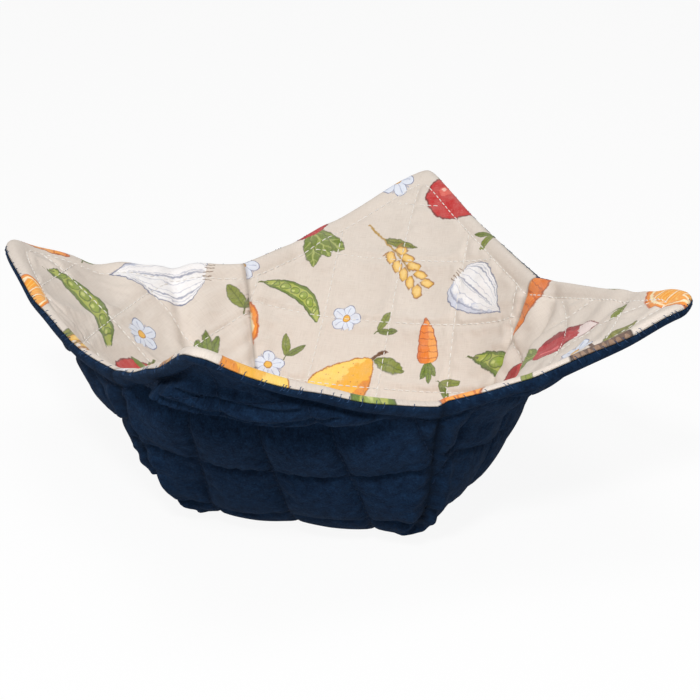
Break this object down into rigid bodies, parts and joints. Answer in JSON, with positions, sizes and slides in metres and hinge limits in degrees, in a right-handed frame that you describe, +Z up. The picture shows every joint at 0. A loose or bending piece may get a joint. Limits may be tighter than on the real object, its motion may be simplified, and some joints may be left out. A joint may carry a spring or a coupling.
{
  "type": "bowl cozy",
  "caption": "Quilted fabric cozy for a hot bowl: a padded cloth square darted into a square-bottomed open bowl with flaring corners.",
  "frame": {"origin": "on the table, under the middle of the bounding box", "axes": "+Z up, out of the bowl; the four flared corners point along +X, +Y, -X and -Y, and the corner nearest the viewer in the picture points along -Y"},
  "size_m": [0.2952, 0.2848, 0.1048],
  "materials": {
    "navy_cotton": "brushed plain-weave cotton, matt",
    "cotton_wadding": "needled cotton wadding, hidden between the fabrics",
    "natural_cotton": "printed natural cotton, matt"
  },
  "bodies": {
    "root": {"outer_cover": "navy_cotton", "batting": "cotton_wadding", "lining": "natural_cotton"}
  },
  "joints": []
}
